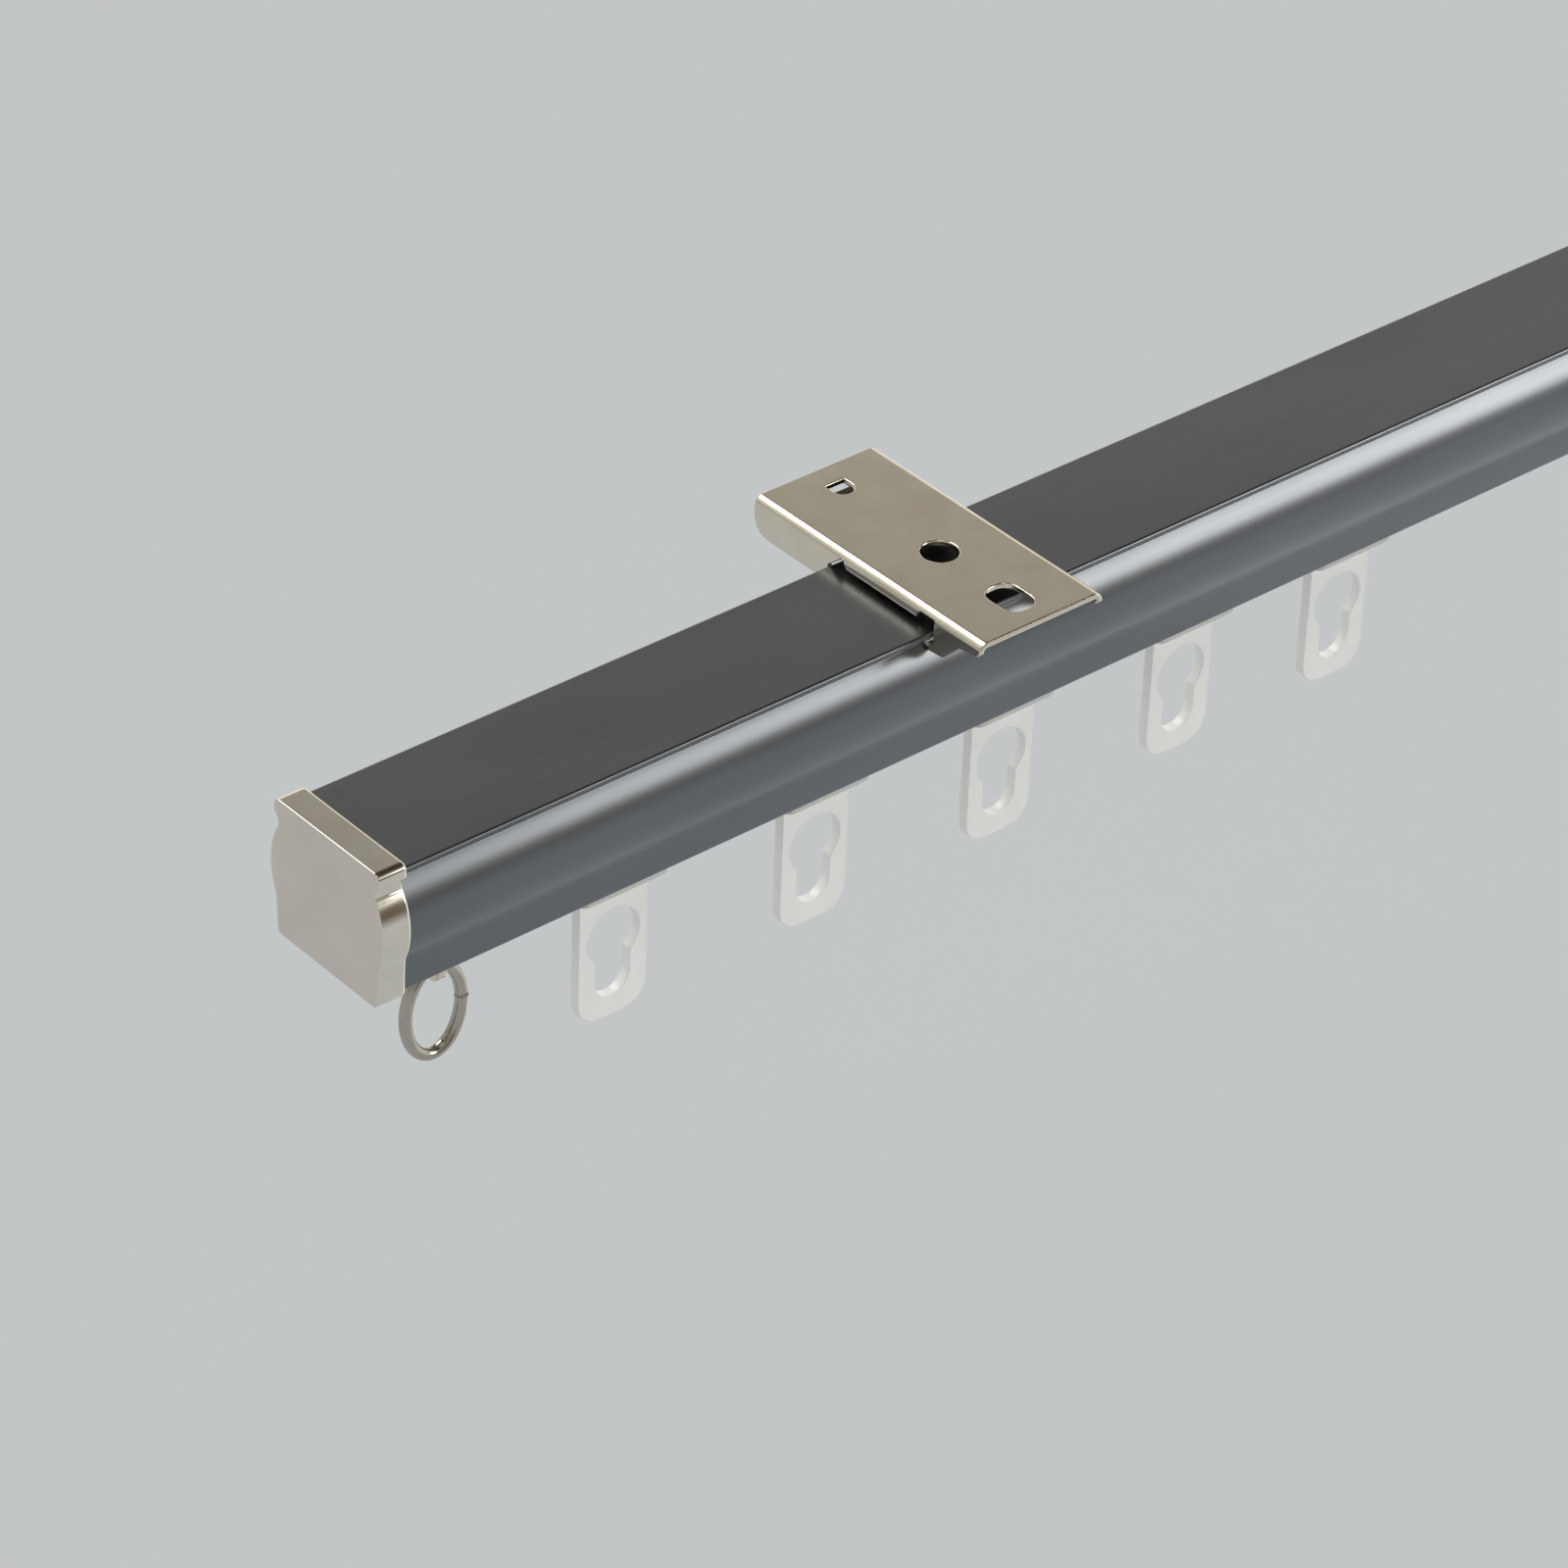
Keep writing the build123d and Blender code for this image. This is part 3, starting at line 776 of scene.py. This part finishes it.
def makeScrew(end):
    low, high = [(corner - trackOrigin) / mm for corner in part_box(f"stop_screw_{end}")]
    x, bottom, top = (low.x + high.x) / 2, low.z, high.z
    s = screw
    head, edge, core, seat = s["head"], s["edge"], s["core"], bottom + s["headHeight"]
    dome = turnSteps(0, radians(63), 7)
    profile = [(head * sin(a), bottom + edge * (1 - cos(a))) for a in dome]
    profile += [(head, bottom + edge * 2), (head, seat - s["rimEdge"]), (head - s["rimEdge"], seat),
                (core, seat), (core, top - s["tip"]), (core - s["tip"], top), (0, top)]
    shape = bmesh.new()
    addTurned(shape, profile, x, 48)
    bmesh.ops.recalc_face_normals(shape, faces=shape.faces)
    item = meshObject(f"stopScrew_{end}", shape)
    recess = bmesh.new()
    half, wide = s["recessLength"] / 2, s["recessWidth"] / 2
    cross = [(wide, -half), (wide, -wide), (half, -wide), (half, wide), (wide, wide), (wide, half)]
    cross += [(-px, -py) for px, py in cross]
    loop = [Vector((px + x, py)) for px, py in cross]
    levels = [(bottom - 0.5, -s["recessSpread"]), (bottom + s["recessDepth"], s["recessDraft"])]
    addPlate(recess, [loop], levels)
    bmesh.ops.recalc_face_normals(recess, faces=recess.faces)
    cutter = meshObject("recess", recess)
    cut = item.modifiers.new("recess", "BOOLEAN")
    cut.object = cutter
    cut.operation = "DIFFERENCE"
    settle(item)
    bpy.data.objects.remove(cutter)
    thread = makeThread(f"thread_{end}", x, seat, top)
    joined = bmesh.new()
    joined.from_mesh(item.data)
    joined.from_mesh(thread.data)
    bpy.data.objects.remove(thread)
    joined.to_mesh(item.data)
    joined.free()
    finishPiece(item, [finishes["steel"]], "root", [f"stop_screw_{end}"])


def makeThread(name, x, low, high):
    tree, inputs = newTree("windThread", ["Radius", "Height", "Turns", "Ridge"])
    spiral = addNode(tree, "GeometryNodeCurveSpiral", {"Resolution": 28},
                     {"Rotations": inputs["Turns"], "Start Radius": inputs["Radius"],
                      "End Radius": inputs["Radius"], "Height": inputs["Height"]})
    section = addNode(tree, "GeometryNodeCurvePrimitiveCircle", {"Resolution": 4},
                      {"Radius": inputs["Ridge"]})
    swept = addNode(tree, "GeometryNodeCurveToMesh", {"Fill Caps": True},
                    {"Curve": spiral.outputs["Curve"], "Profile Curve": section.outputs["Curve"]})
    endTree(tree, swept.outputs["Mesh"], finishes["steel"])
    s = screw
    ridge, wound = (s["shank"] - s["core"]) * s["ridgeShare"], high - low - s["threadFree"]
    sizes = {"Radius": s["shank"] - ridge, "Height": wound, "Ridge": ridge,
             "Turns": wound / s["pitch"]}
    item = growTree(name, meshObject("threadHost", bmesh.new()), tree, sizes)
    item.data.transform(Matrix.Translation((x, 0, low + s["threadStart"])))
    return item


for end in ("near", "far"):
    makeScrew(end)
print("stop screws made")


# Runners and their wheels

# Halves run along the track, and wides across it, both out from the runner's middle
runner = {
    "eyeWidth": 10.7, "eyeThickness": 1.55, "eyeCorner": 4.0, "eyeEdge": 0.16,
    "window": 4.15, "windowRise": 11.9, "slotHalf": 2.7, "slotFloor": 3.0, "shoulder": 0.7,
    "collarDrop": 6.1, "collarHalf": 6.9, "collarWide": 3.4, "collarCorner": 1.6,
    "collarThick": 1.6, "collarTaper": 40, "neckHalf": 3.6, "neckWide": 1.9, "neckCorner": 0.4,
    "stemWide": 2.6, "axleHole": 1.08, "stemLift": 0.5, "edge": 0.25, "overlap": 0.2,
}
wheel = {"radius": 4.4, "width": 3.8, "bore": 1.02, "edge": 0.35, "edgeShare": 0.3, "hub": 2.2,
         "dish": 0.5, "dishSlope": 0.15, "tread": 3.5}


def keyhole(bottom):
    # Round window over a narrower slot, clockwise, with its shoulders eased
    r = runner
    slot, window = r["slotHalf"], r["window"]
    centre, slotLow = bottom + r["windowRise"], bottom + r["slotFloor"] + slot
    start = acos(slot / window)
    half = [((slot * sin(a), slotLow - slot * cos(a)), 0) for a in turnSteps(0, pi / 2, 24)]
    half.append(((slot, centre - window * sin(start)), r["shoulder"]))
    half += [((window * cos(a), centre + window * sin(a)), 0)
             for a in turnSteps(-start, pi / 2, 44)[1:]]
    return bothSides(roundedPath(half)[::-1])[:-1][::-1]


def makeRunner(number):
    r = runner
    low, high = [(corner - trackOrigin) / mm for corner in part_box(f"runner_{number}_body")]
    bottom, stemTop = low.z, high.z
    collarLow = -channel["height"] - r["collarDrop"]
    stemLow = channel["ledge"] - channel["height"] + r["stemLift"]
    moved = Matrix.Translation(((low.x + high.x) / 2, 0, 0))
    shape = bmesh.new()
    half, thick, edge = r["eyeWidth"] / 2, r["eyeThickness"] / 2, r["edge"]
    lid = collarLow + r["overlap"]
    plate = roundedLoop([((half, lid), 0), ((-half, lid), 0), ((-half, bottom), r["eyeCorner"]),
                         ((half, bottom), r["eyeCorner"])], 14)
    levels = roundedLevels(-thick, thick, r["eyeEdge"], r["eyeEdge"], 4)
    addPlate(shape, [plate, keyhole(bottom)], levels, moved @ alongTrack)
    slant = r["collarThick"] * tan(radians(r["collarTaper"]))
    long, wide = r["collarHalf"], r["collarWide"]
    collar = boxLoop(-long, long, -wide, wide, r["collarCorner"])
    levels = roundedLevels(collarLow, collarLow + edge, edge, 0)
    levels.append((collarLow + r["collarThick"], slant))
    addPlate(shape, [collar], levels, moved)
    neck = boxLoop(-r["neckHalf"], r["neckHalf"], -r["neckWide"], r["neckWide"], r["neckCorner"])
    addPlate(shape, [neck], [(lid, 0), (stemLow + r["overlap"], 0)], moved)
    radius = r["neckHalf"]
    axleHigh = stemTop - radius
    stem = [Vector((radius * cos(a), axleHigh + radius * sin(a))) for a in turnSteps(0, pi, 32)]
    stem += [Vector((-radius, stemLow)), Vector((radius, stemLow))]
    bore = holeLoop(r["axleHole"], axleHigh, 32)
    levels = roundedLevels(-r["stemWide"], r["stemWide"], edge, edge)
    addPlate(shape, [stem, bore], levels, moved @ alongTrack)
    bmesh.ops.recalc_face_normals(shape, faces=shape.faces)
    makePiece(f"runner_{number}", shape, [finishes["acetal"]], f"runner_{number}",
              [f"runner_{number}_body"])


def makeWheels(number):
    # One wheel is turned; the tree sets two on the axle, dished sides out, with the stem between
    w = wheel
    middle = middleOf(f"runner_{number}_axle")
    apart = middleOf(f"runner_{number}_wheel_back").y - middleOf(f"runner_{number}_wheel_front").y
    half, edge, radius, slope = w["width"] / 2, w["edge"], w["radius"], w["dishSlope"]
    between = edge * w["edgeShare"]
    profile = [
        (w["bore"], half), (w["hub"], half), (w["hub"] + slope, half - w["dish"]),
        (w["tread"] - slope, half - w["dish"]), (w["tread"], half), (radius - edge, half),
        (radius - between, half - between), (radius, half - edge), (radius, edge - half),
        (radius - between, between - half), (radius - edge, -half), (w["bore"], -half),
        (w["bore"], half)]
    shape = bmesh.new()
    addTurned(shape, profile, 0, 56)
    bmesh.ops.remove_doubles(shape, verts=shape.verts, dist=0.001)
    bmesh.ops.recalc_face_normals(shape, faces=shape.faces)
    tree, inputs = newTree("pairWheels", ["Apart"])
    halfway = addNode(tree, "ShaderNodeMath", {1: 0.5}, {0: inputs["Apart"]}, operation="MULTIPLY")
    place = addNode(tree, "ShaderNodeCombineXYZ", None, {"Z": halfway.outputs[0]})
    spot = addNode(tree, "GeometryNodePoints", {"Count": 1}, {"Position": place.outputs[0]})
    one = addNode(tree, "GeometryNodeInstanceOnPoints", None,
                  {"Points": spot.outputs[0], "Instance": inputs["Geometry"]})
    other = addNode(tree, "GeometryNodeTransform", {"Rotation": (pi, 0, 0)},
                    {"Geometry": one.outputs["Instances"]})
    pair = addNode(tree, "GeometryNodeJoinGeometry")
    tree.links.new(one.outputs["Instances"], pair.inputs[0])
    tree.links.new(other.outputs["Geometry"], pair.inputs[0])
    endTree(tree, pair.outputs["Geometry"], finishes["acetal"])
    item = growTree(f"wheels_{number}", meshObject("wheelHost", shape), tree, {"Apart": apart})
    item.data.transform(Matrix.Translation(middle) @ alongTrack)
    finishPiece(item, [finishes["acetal"]], f"runner_{number}_wheels",
                [f"runner_{number}_wheel_front", f"runner_{number}_wheel_back"])
    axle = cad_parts[f"runner_{number}_axle"]
    axle.material_slots[0].material = finishes["axle"]


for number in range(1, 6):
    makeRunner(number)
    makeWheels(number)
print("runners and wheels made")


# Floor, light and camera

# Each sun: where it stands, its share of light and its width in degrees. Each band of the room:
# its heading, the heights over which it fades in and out, and its colour
studio = {
    "floorDrop": 0.42, "floorHalf": 3.0, "fill": 0.5, "backdrop": "#C2C6C9",
    "sunColour": (1.0, 0.975, 0.935), "bandSides": (0.45, 0.7),
    "suns": {
        "shoulderSun": ((0.695, -0.68, 0.225), 0.25, 28),
        "bendSun": ((-0.09, 0.62, 0.78), 0.38, 35),
        "topSun": ((-0.2, -0.3, 0.93), 0.16, 40),
        "sideSun": ((-0.573, 0.614, 0.543), 0.02, 26),
    },
    "room": ((0.0, "#C2C6C9"), (0.1, "#BDBFBE"), (0.3, "#A9A79E"), (0.57, "#A2A19F"),
             (0.68, "#7C766B"), (0.8, "#3E3A34")),
    "bands": {
        "darkDoor": ((0.54, -0.84), (-0.3, -0.1), (0.06, 0.14), "#6E6357"),
        "warmWall": ((0.78, 0.62), (-0.3, -0.1), (0.36, 0.48), "#FFF7E8"),
        "paleWall": ((0.985, 0.17), (-1.2, -1.1), (0.02, 0.14), "#F3F6F8"),
    },
}


def makeFloor():
    shape = bmesh.new()
    half = studio["floorHalf"]
    loop = [(-half, -half), (half, -half), (half, half), (-half, half)]
    shape.faces.new([shape.verts.new((x, y, -studio["floorDrop"])) for x, y in loop])
    floor = meshObject("floor", shape)
    floor.data.materials.append(paleStudioFloor())
    floor.visible_glossy = False  # gloss sees the room's own lower half, of the same colour


def makeSun(name, towards, factor, angle):
    # factor is the share of its colour that a matt surface facing the sun shows
    light = bpy.data.lights.new(name, "SUN")
    light.energy = factor * pi
    light.angle = radians(angle)
    light.color = studio["sunColour"]
    sun = bpy.data.objects.new(name, light)
    sun.rotation_euler = Vector(towards).to_track_quat("Z", "Y").to_euler()
    bpy.context.scene.collection.objects.link(sun)


def addBand(tree, way, height, colour, heading, low, high, hexColour):
    # A soft-edged patch of wall towards a heading, between two heights
    def fade(start, end, source):
        return addNode(tree, "ShaderNodeMapRange", {"From Min": start, "From Max": end},
                       {"Value": source})

    front = addNode(tree, "ShaderNodeVectorMath", {1: (*heading, 0)}, {0: way},
                    operation="DOT_PRODUCT")
    across = fade(*studio["bandSides"], front.outputs["Value"])
    above = fade(*low, height)
    below = fade(high[1], high[0], height)
    tall = addNode(tree, "ShaderNodeMath", None, {0: above.outputs[0], 1: below.outputs[0]},
                   operation="MULTIPLY")
    share = addNode(tree, "ShaderNodeMath", None, {0: tall.outputs[0], 1: across.outputs[0]},
                    operation="MULTIPLY")
    mixed = addNode(tree, "ShaderNodeMix", {"B": linearColour(hexColour)},
                    {"Factor": share.outputs[0], "A": colour}, data_type="RGBA")
    return mixed.outputs["Result"]


def makeWorld():
    # Plain fill for matt surfaces, a plain backdrop, and for gloss a room that darkens overhead
    world = bpy.data.worlds.new("studioRoom")
    world.use_nodes = True
    tree = world.node_tree
    tree.nodes.clear()
    fill = addNode(tree, "ShaderNodeBackground",
                   {"Color": linearColour("#FFFFFF"), "Strength": studio["fill"]})
    backdrop = addNode(tree, "ShaderNodeBackground", {"Color": linearColour(studio["backdrop"])})
    way = addNode(tree, "ShaderNodeTexCoord").outputs["Generated"]
    height = addNode(tree, "ShaderNodeSeparateXYZ", None, {"Vector": way}).outputs["Z"]
    room = addNode(tree, "ShaderNodeValToRGB", None, {"Fac": height})
    first, *between, last = studio["room"]
    stops = room.color_ramp.elements
    for stop, (position, colour) in zip(stops, (first, last)):
        stop.position = position
        stop.color = linearColour(colour)
    for position, colour in between:
        stops.new(position).color = linearColour(colour)
    colour = room.outputs["Color"]
    for band in studio["bands"].values():
        colour = addBand(tree, way, height, colour, *band)
    seen = addNode(tree, "ShaderNodeBackground", None, {"Color": colour})
    path = addNode(tree, "ShaderNodeLightPath")
    glossy = addNode(tree, "ShaderNodeMath", None,
                     {0: path.outputs["Is Glossy Ray"], 1: path.outputs["Is Transmission Ray"]},
                     operation="MAXIMUM")
    lit = addNode(tree, "ShaderNodeMixShader", None,
                  {0: glossy.outputs[0], 1: fill.outputs[0], 2: seen.outputs[0]})
    framed = addNode(tree, "ShaderNodeMixShader", None,
                     {0: path.outputs["Is Camera Ray"], 1: lit.outputs[0], 2: backdrop.outputs[0]})
    addNode(tree, "ShaderNodeOutputWorld", None, {"Surface": framed.outputs[0]})
    bpy.context.scene.world = world


view = {"place": (-0.52845, -0.47385, 0.41708), "azimuth": -41.51, "elevation": 34.93, "roll": 2.34,
        "lens": 143.3}


def makeCamera():
    azimuth, elevation = radians(view["azimuth"]), radians(view["elevation"])
    back = Vector((sin(azimuth) * cos(elevation), -cos(azimuth) * cos(elevation), sin(elevation)))
    right = Vector((cos(azimuth), sin(azimuth), 0))
    up = back.cross(right)
    level = Matrix((right, up, back)).transposed()
    turned = level @ Matrix.Rotation(radians(view["roll"]), 3, "Z")
    camera = bpy.data.objects.new("camera", bpy.data.cameras.new("camera"))
    camera.data.lens = view["lens"]
    camera.matrix_world = Matrix.Translation(view["place"]) @ turned.to_4x4()
    bpy.context.scene.collection.objects.link(camera)
    bpy.context.scene.camera = camera


makeFloor()
for name, sun in studio["suns"].items():
    makeSun(name, *sun)
makeWorld()
makeCamera()
bpy.context.scene.view_settings.view_transform = "Standard"
print("studio made")
